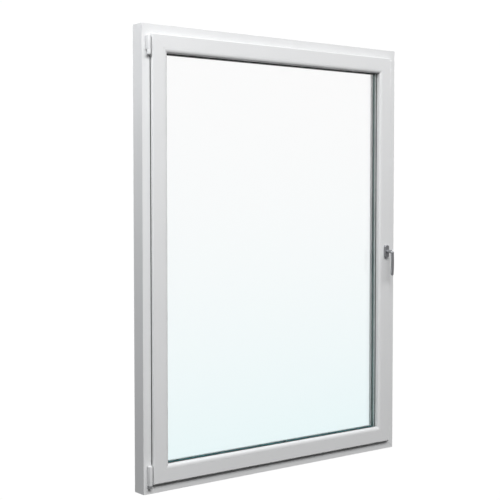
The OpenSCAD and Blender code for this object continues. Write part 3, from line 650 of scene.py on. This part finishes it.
class StudioSettings(bpy.types.PropertyGroup):
    """Light and camera."""

    key: bpy.props.FloatProperty(
        name="Key light", description="Power of the wide light in front, on the hinge side", default=600.0,
        min=0.0, subtype="POWER"
    )
    flank: bpy.props.FloatProperty(
        name="Side light", description="Power of the light high on the hinge side", default=48.0, min=0.0,
        subtype="POWER"
    )
    rear: bpy.props.FloatProperty(
        name="Rear light", description="Power of the light behind the window", default=260.0, min=0.0,
        subtype="POWER"
    )
    haze: bpy.props.FloatProperty(
        name="Haze", description="Strength of the even light from all round", default=0.05, min=0.0, max=2.0
    )
    sheen: bpy.props.FloatProperty(
        name="Sheen", description="Brightness of the studio in reflections", default=0.35, min=0.0, max=2.0
    )
    lens: bpy.props.FloatProperty(
        name="Lens", description="Focal length of the camera, in millimetres", default=80.38, min=20.0,
        max=200.0
    )
    heading: bpy.props.FloatProperty(
        name="Heading", description="Camera turned from +Y towards +X", default=math.radians(38.2526),
        subtype="ANGLE"
    )
    dip: bpy.props.FloatProperty(
        name="Dip", description="Camera tilted down from level", default=math.radians(2.7021),
        subtype="ANGLE"
    )
    stand: bpy.props.FloatVectorProperty(
        name="Camera place", description="Where the camera stands", default=(-3.3083, -4.0117, 1.2697),
        size=3, subtype="TRANSLATION", unit="LENGTH"
    )


def settings():
    """The scene's three groups of settings."""
    scene = bpy.context.scene
    return scene.window_sizes, scene.window_colours, scene.window_studio


# ---------------- the window's outlines, in millimetres


def frame_corners(ease):
    """The frame profile: a box with the weather upstand, chamfered where it faces the room opening."""
    room, weather = SILL_LOW.y / MM, SILL_HIGH.y / MM
    upstand = depths("frame_gasket")[1]
    floor, top = 47.0, SILL_HIGH.z / MM
    return [
        (room, 0.0, ease), (weather, 0.0, ease), (weather, top, 2.2), (upstand, top, 1.0),
        (upstand, floor, ease), (room, floor, 2.5),
    ]


def sash_corners(ease):
    """The sash profile: overlap lip, hardware groove with its channel, rear block and glazing flange."""
    room, back = RAIL_LOW.y / MM, RAIL_HIGH.y / MM
    lip, flange = RAIL_LOW.z / MM, RAIL_HIGH.z / MM
    plate_low, plate_high = depths("faceplate_bottom")
    plate_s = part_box("faceplate_bottom")[0].z / MM
    rod_low, rod_high = depths("drive_rod_bottom")
    seat = depths("glazing_gaskets")[1]
    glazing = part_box("bead_bottom")[0].z / MM
    lip_t, plate_gap, rod_gap, ledge, channel, small = 14, 0.2, 0.7, plate_s + 3, plate_s + 9, 0.25
    return [
        (room, lip, 4.0), (room + lip_t, lip, 1.0), (room + lip_t, plate_s, small),
        (plate_low - plate_gap, plate_s, small), (plate_low - plate_gap, ledge, small),
        (rod_low - rod_gap, ledge, small), (rod_low - rod_gap, channel, small),
        (rod_high + rod_gap, channel, small), (rod_high + rod_gap, ledge, small),
        (plate_high + plate_gap, ledge, small), (plate_high + plate_gap, plate_s, small),
        (back, plate_s, 0.8), (back, flange, 3.0), (seat, flange, ease), (seat, glazing, small),
        (room, glazing, small),
    ]


def bead_corners(ease):
    """The glazing bead: flush with the sash in front, then a long rounding and a short wall to the glass."""
    low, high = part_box("bead_bottom")
    room, foot, seat, top = low.y / MM, high.y / MM, low.z / MM, high.z / MM
    round_depth, round_height = 9.0, 16.5
    return [(foot, seat, 0.3), (foot, top, 0.6), (room, top, round_depth, round_height), (room, seat, 0.8)]


# ---------------- operators


class WINDOW_OT_frame(bpy.types.Operator):
    """Makes the four welded lengths of the outer frame, with fixing holes and drain slots"""

    bl_idname = "window.frame_lengths"
    bl_label = "Frame"

    def execute(self, context):
        sizes, colours, _ = settings()
        outline = eased_outline(frame_corners(sizes.edge / MM))
        plastics = both_ways("frame_plastic", colours.plastic)
        nodes = ("frame_sill", "frame_jamb_lock", "frame_head", "frame_jamb_hinge")
        for k, node in enumerate(nodes):
            made = welded("frame_", k, outline, sizes.seam_width, sizes.seam_depth)
            if k % 2:
                side, skin_left, bore_deep = 2 - k, 0.8 * MM, 60 * MM
                ends = sorted(side * (WIDTH / 2 - depth) for depth in (skin_left, bore_deep))
                carved(made, *(cylinder_rings((0, 0, z * MM), 0, 5 * MM, *ends, 32) for z in FIXINGS_Z))
            elif k == 0:
                slot = (24 * MM, 8 * MM, 13 * MM, 20 * MM, SILL_HIGH.y + MM)
                carved(made, *(slot_rings(x * MM, *slot) for x in DRAINS_X))
            finished(made, "frame", plastics[k % 2], (node,))
        return {"FINISHED"}


def slot_rings(x, length, low, high, start, stop, steps=10):
    """Two rings of a round-ended slot through the depth: half circles of half the slot's height, their
    centres (length - height) apart."""
    r = (high - low) / 2
    u = np.linspace(-math.pi / 2, math.pi / 2, steps + 1)
    across = np.r_[r * np.cos(u) + length / 2 - r, -r * np.cos(u) - length / 2 + r] + x
    up = np.r_[r * np.sin(u), -r * np.sin(u)] + (low + high) / 2
    ring = np.zeros((2, len(across), 3))
    ring[..., 0], ring[..., 2] = across, up
    ring[0, :, 1], ring[1, :, 1] = start, stop
    return ring


class WINDOW_OT_sash(bpy.types.Operator):
    """Makes the four welded lengths of the sash, with the hardware groove and the gearbox pocket"""

    bl_idname = "window.sash_lengths"
    bl_label = "Sash"

    def execute(self, context):
        sizes, colours, _ = settings()
        outline = eased_outline(sash_corners(sizes.edge / MM))
        plastics = both_ways("sash_plastic", colours.plastic)
        nodes = ("sash_bottom_rail", "sash_stile_lock", "sash_top_rail", "sash_stile_hinge")
        for k, node in enumerate(nodes):
            made = welded("sash_", k, outline, sizes.seam_width, sizes.seam_depth)
            if k == 1:
                low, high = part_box("gearbox_case")
                middle = (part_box("spindle")[0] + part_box("spindle")[1]) / 2
                room, end_room, neck_r = 0.3 * MM, 0.5 * MM, 8.2 * MM
                pocket = box_rings(
                    (low.x - room, low.y - room, low.z - end_room),
                    (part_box("drive_rod_lock")[1].x + 1 * MM, high.y + room, high.z + end_room),
                )
                neck = cylinder_rings((middle.x, 0, middle.z), 1, neck_r, RAIL_LOW.y - MM, low.y + 2 * MM)
                carved(made, pocket, neck)
            finished(made, "sash", plastics[k % 2], (node,))
        return {"FINISHED"}


class WINDOW_OT_beads(bpy.types.Operator):
    """Makes the four glazing beads that hold the glass from the room side"""

    bl_idname = "window.beads"
    bl_label = "Glazing beads"

    def execute(self, context):
        sizes, colours, _ = settings()
        points, edge = eased_outline(bead_corners(sizes.edge / MM), 9)
        plastics = both_ways("bead_plastic", colours.plastic, 0.3)
        for k in range(4):
            made = welded("glazing_bead_", k, (points, edge * 0.6), 0.25 * MM, 0.12 * MM)
            finished(made, "sash", plastics[k % 2], ("bead_" + SIDES[k],))
        return {"FINISHED"}


class WINDOW_OT_gaskets(bpy.types.Operator):
    """Makes the gaskets on both sides of the glass, on the frame's upstand and behind the sash's lip; the one
    behind the lip reaches past its edge as painted shade in the gap
    """

    bl_idname = "window.gaskets"
    bl_label = "Gaskets"

    def execute(self, context):
        _, colours, _ = settings()
        finish = rubber("gasket_black", colours.rubber)
        room, glass = depths("bead_gaskets")
        pane, flange = depths("glazing_gaskets")
        lip, foot = depths("frame_gasket")
        parts = {
            "bead_gasket": ("bead_gaskets", "sash", [
                (room, 110, 0.2), (room, 118.5, 0.5), (glass - 1.2, 120.4, 0.5), (glass, 120.4, 0.2),
                (glass, 110, 0.2)]),
            "glazing_gasket": ("glazing_gaskets", "sash", [
                (pane, 112, 0.2), (pane, 122.2, 0.2), (pane + 1.2, 122.2, 0.5), (flange, 120.5, 0.5),
                (flange, 112, 0.2)]),
            "rebate_gasket": ("frame_gasket", "frame", [
                (foot, 57, 0.2), (foot, 65, 0.6), (lip, 64, 0.8), (lip, 61, 0.8)]),
        }
        for name, (node, body, corners) in parts.items():
            finished(all_round(name, corners, 4), body, finish, (node,))
        near, far = depths("overlap_gasket")
        lip = RAIL_LOW.z / MM
        # The overlap seal is real black rubber behind the lip. It reaches 1 to 2 mm past the lip's edge, and
        # that part is a painted shade line for the gap between sash and frame.
        outline = eased_outline([
            (near, lip - 1, 0.2), (near, lip + 5.5, 0.2), (far, lip + 4.5, 0.2), (far, lip - 2, 0.3)], 3)
        left, right, gap = -WIDTH / 2, -689 * MM, 3 * MM
        foot = box_rings((left, -0.2, 0.0), (right, 0.2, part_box("corner_band_cover")[1].z + gap))
        head = box_rings((left, -0.2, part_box("stay_arm_cover")[0].z - gap), (right, 0.2, HEIGHT))
        for k, cuts in enumerate(((foot,), (), (head,), (foot, head))):
            made = carved(welded("overlap_seal_and_gap_shade_", k, outline), *cuts)
            finished(made, "sash", finish, () if k else ("overlap_gasket",))
        return {"FINISHED"}


class WINDOW_OT_glazing(bpy.types.Operator):
    """Finishes panes, sealant and packers, and makes the spacer bar and the colour of the glass edge"""

    bl_idname = "window.glazing"
    bl_label = "Glazing unit"

    def execute(self, context):
        _, colours, _ = settings()
        glass = pane_glass("float_glass", colours.glass_high, colours.glass_low)
        paint(glass, "glass_pane_room", "glass_pane_weather")
        paint(rubber("edge_seal", colours.sealant), "edge_sealant")
        paint(moulded_plastic("packer", colours.packer), "glazing_blocks")
        low, high = depths("spacer_bar")
        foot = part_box("spacer_bar")[0].z / MM
        step, top, slant = foot + 5.0, foot + 7.5, 2.0
        made = all_round("spacer", [
            (low, foot, 0.3), (high, foot, 0.3), (high, step, 0.6), (high - slant, top, 0.8),
            (low + slant, top, 0.8), (low, step, 0.6)], 3)
        metal = spacer_metal("spacer_satin", colours.spacer)
        finished(made, "sash", metal, ("spacer_bar",))
        back = depths("glass_pane_weather")[0] - 0.05
        front, foot, top = back - 0.35, 109, 121.6
        made = all_round("edge_seal_strip", [
            (front, foot, 0.1), (back, foot, 0.1), (back, top, 0.1), (front, top, 0.1)], 2)
        finished(made, "sash", seal_film("edge_film", colours.film_low, colours.film_high))
        return {"FINISHED"}


def cover_rings(low, high, back, ease_low, ease_high, wall=0.0, steps=6, turn=28):
    """Rings of a hinge cover, a half cylinder with straight flanks, stacked from low to high.

    In plan each ring is the half circle (x - r cos u, y - r sin u), u from 0 to 180 degrees, and the two
    back corners at depth back. Near an end at distance d the ring draws in by e - sqrt(e^2 - (e - d)^2),
    a quarter circle of radius e. The radius is less by the wall for a cavity.
    """
    t = np.linspace(0, math.pi / 2, steps + 1)
    z = np.r_[low + ease_low * (1 - np.cos(t)), (low + high) / 2, high - ease_high * (1 - np.cos(t[::-1]))]
    inset = np.r_[ease_low * (1 - np.sin(t)), 0.0, ease_high * (1 - np.sin(t[::-1]))]
    r = (HINGE_R - wall - inset)[:, None]
    u = np.linspace(0, math.pi, turn + 1)[None]
    across = np.concatenate([-r * np.cos(u), r, -r], 1)
    depth = np.concatenate([-r * np.sin(u), 0 * r + back, 0 * r + back], 1)
    height = np.broadcast_to(z[:, None], across.shape)
    edge = np.clip(inset / max(ease_high, 1e-6) * 2, 0, 1)
    return np.stack([HINGE_X + across, HINGE_Y + depth, height], -1), edge[:, None]


def hollow_cover(name, low, high, foot_ease, head_ease, bore, *cuts):
    """A hinge cover over a CAD box: walls all round, open at the back, with a round bore in its foot."""
    rings, edge = cover_rings(low.z, high.z, high.y - HINGE_Y, foot_ease, head_ease)
    floor, roof = low.z + COVER_WALL, high.z - COVER_WALL
    cavity, _ = cover_rings(floor, roof, 20 * MM, 0.1 * MM, 1.5 * MM, COVER_WALL)
    hole = cylinder_rings((HINGE_X, HINGE_Y, 0), 2, bore, low.z - MM, low.z + 3 * MM)
    return carved(skin(name, [rings], [edge]), cavity, hole, *cuts)


class WINDOW_OT_hinges(bpy.types.Operator):
    """Makes the white hinge covers and finishes the bearings, pins and bands under them"""

    bl_idname = "window.hinges"
    bl_label = "Hinges"

    def execute(self, context):
        sizes, colours, _ = settings()
        white = moulded_plastic("hinge_cover", colours.cover)
        cast = cast_metal("hinge_cast", colours.cast)
        steel = plated_steel("hinge_plate", colours.steel)
        x, y, parting, arm_bore, pin_bore = HINGE_X, HINGE_Y, 0.5 * MM, 7.2 * MM, 3.2 * MM
        low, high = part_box("corner_band_cover")
        gap = box_rings((x, y - parting, low.z + 10 * MM), (x + 60 * MM, y + 30 * MM, high.z - COVER_WALL))
        made = hollow_cover("cover_low", low, high, 0.5 * MM, sizes.cover_ease, arm_bore, gap)
        finished(made, "sash", white, ("corner_band_cover",))

        low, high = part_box("stay_bearing_cover")
        made = hollow_cover("cover_high", low, high, 0.4 * MM, sizes.cover_ease, pin_bore)
        finished(made, "frame", white, ("stay_bearing_cover",))

        low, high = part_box("stay_arm_cover")
        rings, edge = cover_rings(low.z, high.z, 5 * MM, 4.5 * MM, 0.4 * MM)
        made = skin("cover_stay", [rings], [edge])
        bore = cylinder_rings((x, y, 0), 2, arm_bore, low.z - MM, high.z + MM)
        rear = box_rings((x - 20 * MM, y - parting, low.z - MM), (x + 20 * MM, y + 20 * MM, high.z + MM))
        carved(made, bore, rear)
        finished(made, "stay", white, ("stay_arm_cover",))

        ease = sizes.hardware_ease
        eased_copy("corner_band", "sash", steel, ease)
        eased_copy("corner_bearing", "frame", cast, ease)
        eased_copy("stay_bearing", "frame", cast, ease)
        eased_copy("stay_arm", "stay", steel, ease)
        paint(steel, "stay_pin", "pivot_pin")
        paint(plated_steel("bearing_screw", colours.steel, roughness=0.24), "bearing_screws")
        return {"FINISHED"}


def lever_rings(x, z, start, reach, tip, bow):
    """Rings of neck and lever, one profile carried along one path.

    The path runs straight out from the rosette, turns down through a quarter circle and follows the
    lever, whose middle bows out as bow * (1 - v^2), v running from -1 to 1. The profile is the
    superellipse (w |cos u|^(2/n), h |sin u|^(2/n)): round with n = 2 at the neck and nearly oblong with
    n = 3 at the lever, which narrows towards its tip and closes there on a quarter ellipse.
    """
    bend, cap_height = 9 * MM, 6 * MM
    out = np.linspace(start, reach + bend, 6)
    turn = np.linspace(0, math.pi / 2, 10)[1:-1]
    down = np.linspace(z - bend, tip + cap_height, 16)
    cap = np.sin(np.linspace(0, math.pi / 2, 7)[1:]) * cap_height
    v = np.linspace(-1, 1, len(down))
    lie = reach + bow * 0.5 - bow * (1 - v * v)
    path_y = np.r_[out, reach + bend - bend * np.sin(turn), lie, np.full(len(cap), lie[-1])]
    path_z = np.r_[np.full(len(out), z), z - bend + bend * np.cos(turn), down, down[-1] - cap]
    tangent = np.stack([np.gradient(path_y), np.gradient(path_z)], 1)
    tangent[-len(cap):] = (0, -1)
    tangent /= np.linalg.norm(tangent, axis=1)[:, None]
    normal = np.stack([tangent[:, 1], -tangent[:, 0]], 1)
    share = np.clip((np.arange(len(path_y)) - len(out) + 1) / (len(turn) + 2), 0, 1)
    share = share * share * (3 - 2 * share)
    along = np.clip((z - path_z) / (z - tip), 0, 1)
    neck_r, wider, taper, flatter = 8, 0.5, 1.1, 2.5
    w = (neck_r + share * wider - along * taper) * MM
    h = (neck_r - share * flatter) * MM
    closing = np.sqrt(np.maximum(0.02, 1 - (cap / cap_height) ** 2))
    shut = np.r_[np.ones(len(path_y) - len(cap)), closing]
    n = (2 + share * 1.1)[:, None]
    u = np.linspace(0, 2 * math.pi, 36, endpoint=False)[None]
    a = np.sign(np.cos(u)) * np.abs(np.cos(u)) ** (2 / n) * (w * shut)[:, None]
    b = np.sign(np.sin(u)) * np.abs(np.sin(u)) ** (2 / n) * (h * shut)[:, None]
    corner = np.clip(np.abs(np.sin(2 * u)) * share[:, None] * 1.4 - 0.5, 0, 1)
    rings = np.stack([x + a, path_y[:, None] + b * normal[:, :1], path_z[:, None] + b * normal[:, 1:]], -1)
    return rings, corner


def plate_rings(x, z, back, front, width, height, radius, ease, steps=6, turn=10):
    """Rings of a rounded plate standing off a face, from back to front.

    Each ring is a rectangle with quarter-circle corners of the given radius, drawn in all round by
    ease * (1 - cos t) while it moves forward by ease * sin t over the last stretch, a quarter circle.
    """
    t = np.linspace(0, math.pi / 2, steps + 1)
    sign = math.copysign(1.0, front - back)
    depth = np.r_[back, front - sign * ease + sign * ease * np.sin(t)]
    inset = np.r_[0.0, ease * (1 - np.cos(t))][:, None]
    u = np.concatenate([np.linspace(k, k + 1, turn + 1) for k in range(4)])[None] * math.pi / 2
    sx = np.repeat([1, -1, -1, 1], turn + 1)[None]
    sz = np.repeat([1, 1, -1, -1], turn + 1)[None]
    across = sx * (width / 2 - radius) + (radius - inset) * np.cos(u)
    up = sz * (height / 2 - radius) + (radius - inset) * np.sin(u)
    edge = np.r_[0.0, np.sin(2 * t)][:, None]
    return np.stack([x + across, np.broadcast_to(depth[:, None], across.shape), z + up], -1), edge


class WINDOW_OT_handle(bpy.types.Operator):
    """Makes the lever with its neck and the rosette it turns in"""

    bl_idname = "window.handle"
    bl_label = "Handle"

    def execute(self, context):
        sizes, colours, _ = settings()
        satin = satin_metal("handle_satin", colours.handle)
        low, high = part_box("handle_lever")
        x, z = (low.x + high.x) / 2, high.z - (high.x - low.x) / 2
        face = 6.5 * MM
        rings, edge = lever_rings(x, z, high.y, low.y + face, low.z, sizes.lever_bow)
        made = skin("lever", [rings], [edge])
        finished(made, "handle", satin, ("handle_lever",), 50.0)

        low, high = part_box("rosette_cover")
        width, height, corner, wall, neck_bore = high.x - low.x, high.z - low.z, 12 * MM, 1.2 * MM, 8.3 * MM
        rings, edge = plate_rings(x, z, high.y, low.y, width, height, corner, 2.5 * MM)
        made = skin("rosette", [rings], [edge])
        inner, _ = plate_rings(
            x, z, high.y + MM, low.y + wall, width - 2 * wall, height - 2 * wall, corner - wall, 1.5 * MM)
        hole = cylinder_rings((x, 0, z), 1, neck_bore, low.y - MM, high.y + MM, 48)
        carved(made, inner, hole)
        finished(made, "sash", satin, ("rosette_cover",))
        paint(plated_steel("spindle_steel", colours.steel, 1), "spindle")
        paint(cast_metal("pinion_cast", colours.cast), "pinion")
        paint(cast_metal("base_cast", colours.cast), "handle_base")
        paint(plated_steel("handle_screw", colours.steel, roughness=0.24), "handle_screws")
        return {"FINISHED"}


class WINDOW_OT_fittings(bpy.types.Operator):
    """Finishes the locking gear: faceplates, drive rods, cams, strikers and screws"""

    bl_idname = "window.fittings"
    bl_label = "Locking gear"

    def execute(self, context):
        sizes, colours, _ = settings()
        ease = sizes.hardware_ease
        level = plated_steel("strip_level", colours.steel, 0)
        upright = plated_steel("strip_upright", colours.steel, 2)
        rod = plated_steel("rod_steel", dimmed(colours.steel, 0.85), roughness=0.35)
        cam = plated_steel("cam_steel", colours.steel, roughness=0.2)
        cast = cast_metal("striker_cast", colours.steel, 0.4)
        for k, side in enumerate(SIDES):
            strip = upright if k % 2 else level
            eased_copy("faceplate_" + side, "sash", strip, ease)
            paint(rod, "drive_rod_" + side)
            paint(cam, "cams_" + side)
        eased_copy("strikers", "frame", cast, ease)
        eased_copy("tilt_striker", "frame", cast, ease)
        eased_copy("run_up_block", "frame", moulded_plastic("run_up", colours.packer), ease)
        screw = plated_steel("screw_head", colours.steel, roughness=0.24)
        paint(screw, "striker_screws", "hardware_screws")
        eased_copy("corner_drives", "sash", upright, ease)
        paint(cast_metal("case_cast", colours.cast), "gearbox_case")
        paint(upright, "stay_guide")
        return {"FINISHED"}


class WINDOW_OT_steel(bpy.types.Operator):
    """Finishes the galvanised tubes inside the plastic profiles"""

    bl_idname = "window.reinforcement"
    bl_label = "Steel tubes"

    def execute(self, context):
        finish = spangled_steel("galvanised", settings()[1].steel)
        paint(finish, "frame_reinforcements", "sash_reinforcements")
        return {"FINISHED"}


def cove_rings(radius, curve=4.0, points=96, steps=12):
    """Rings of a round studio as high as its radius: floor, a quarter-circle cove, wall and flat lid."""
    t = np.linspace(0, math.pi / 2, steps + 1)
    r = np.r_[0.02, 1.0, 4.0, radius - curve + curve * np.sin(t), radius, 0.02]
    z = np.r_[0.0, 0.0, 0.0, curve - curve * np.cos(t), radius, radius] - 0.5 * MM
    u = np.linspace(0, 2 * math.pi, points, endpoint=False)
    return np.stack([r[:, None] * np.cos(u), r[:, None] * np.sin(u), np.repeat(z[:, None], points, 1)], -1)


class WINDOW_OT_stage(bpy.types.Operator):
    """Sets the pale floor and backdrop, the lights and the camera"""

    bl_idname = "window.stage"
    bl_label = "Studio"

    def lamp(self, name, place, aim, size, power, colour=(1.0, 1.0, 1.0)):
        """An area light at a place, pointed at a target."""
        data = bpy.data.lights.new(name, "AREA")
        data.shape, data.size, data.size_y = "RECTANGLE", size[0], size[1]
        data.energy, data.color = power, colour
        made = linked(name, data)
        towards = np.array(aim, float) - np.array(place, float)
        made.location = place
        flat = math.hypot(towards[0], towards[1])
        rise, turn = math.atan2(towards[2], flat), math.atan2(towards[1], towards[0])
        made.rotation_euler = (math.pi / 2 + rise, 0.0, turn - math.pi / 2)
        made.visible_camera = made.visible_transmission = False

    def execute(self, context):
        _, _, studio = settings()
        scene = bpy.context.scene
        for name, radius, strength in (("studio_cove", 14.0, 1.02), ("studio_reflector", 13.0, studio.sheen)):
            f = Finish(name)
            glow = f.add("ShaderNodeEmission", {}, {"Color": (1.0, 1.0, 1.0, 1.0), "Strength": strength})
            cove = skin(name, [cove_rings(radius)])
            cove.data.materials.append(f.end(glow))
            cove.visible_diffuse = cove.visible_shadow = False
            cove.visible_glossy = name == "studio_reflector"
            cove.visible_camera = cove.visible_transmission = name == "studio_cove"

        world = bpy.data.worlds.new("haze")
        world.use_nodes = True
        background = world.node_tree.nodes["Background"].inputs
        background["Color"].default_value = (0.97, 0.985, 1.0, 1.0)
        background["Strength"].default_value = studio.haze
        scene.world = world

        middle, lock_side, hinge_side = (0.0, 0.0, 1.0), (0.75, 0.0, 1.0), (-0.75, 0.0, 1.3)
        cross, right, cool = studio.key * 0.64, studio.rear * 0.6, (0.96, 0.98, 1.0)
        self.lamp("key_light", (-3.0, -6.2, 7.3), middle, (5.0, 3.6), studio.key)
        self.lamp("cross_light", (2.0, -6.4, 7.3), middle, (6.0, 3.6), cross)
        self.lamp("side_light", (-3.0, -0.5, 3.4), hinge_side, (1.4, 1.4), studio.flank, cool)
        self.lamp("rear_light", (-1.2, 5.6, 3.4), middle, (3.0, 3.0), studio.rear)
        self.lamp("right_light", (5.5, 1.6, 3.0), lock_side, (2.0, 2.0), right)

        camera = linked("camera", bpy.data.cameras.new("camera"))
        camera.data.sensor_width, camera.data.lens = 36.0, studio.lens
        camera.location = studio.stand
        camera.rotation_euler = (math.pi / 2 - studio.dip, 0.0, -studio.heading)
        camera.data.clip_start, camera.data.clip_end = 0.05, 100.0
        scene.camera = camera
        scene.view_settings.view_transform = "Standard"
        return {"FINISHED"}


OPERATORS = (
    WINDOW_OT_frame, WINDOW_OT_sash, WINDOW_OT_beads, WINDOW_OT_gaskets, WINDOW_OT_glazing,
    WINDOW_OT_hinges, WINDOW_OT_handle, WINDOW_OT_fittings, WINDOW_OT_steel, WINDOW_OT_stage,
)


class WINDOW_PT_panel(bpy.types.Panel):
    """Settings and steps of the window"""

    bl_idname = "WINDOW_PT_panel"
    bl_label = "Tilt-and-turn window"
    bl_space_type = "VIEW_3D"
    bl_region_type = "UI"
    bl_category = "Window"

    def draw(self, context):
        for group in settings():
            box = self.layout.box()
            for key in group.__annotations__:
                box.prop(group, key)
        for operator in OPERATORS:
            self.layout.operator(operator.bl_idname)


GROUPS = {"window_sizes": WindowSizes, "window_colours": WindowColours, "window_studio": StudioSettings}


def register():
    for group in (*GROUPS.values(), *OPERATORS, WINDOW_PT_panel):
        bpy.utils.register_class(group)
    for name, group in GROUPS.items():
        setattr(bpy.types.Scene, name, bpy.props.PointerProperty(type=group))


def unregister():
    for name in GROUPS:
        delattr(bpy.types.Scene, name)
    for group in reversed((*GROUPS.values(), *OPERATORS, WINDOW_PT_panel)):
        bpy.utils.unregister_class(group)


def main():
    """Registers the classes and runs the steps in order."""
    register()
    for operator in OPERATORS:
        area, step = operator.bl_idname.split(".")
        getattr(getattr(bpy.ops, area), step)()


if __name__ == "__main__":
    main()
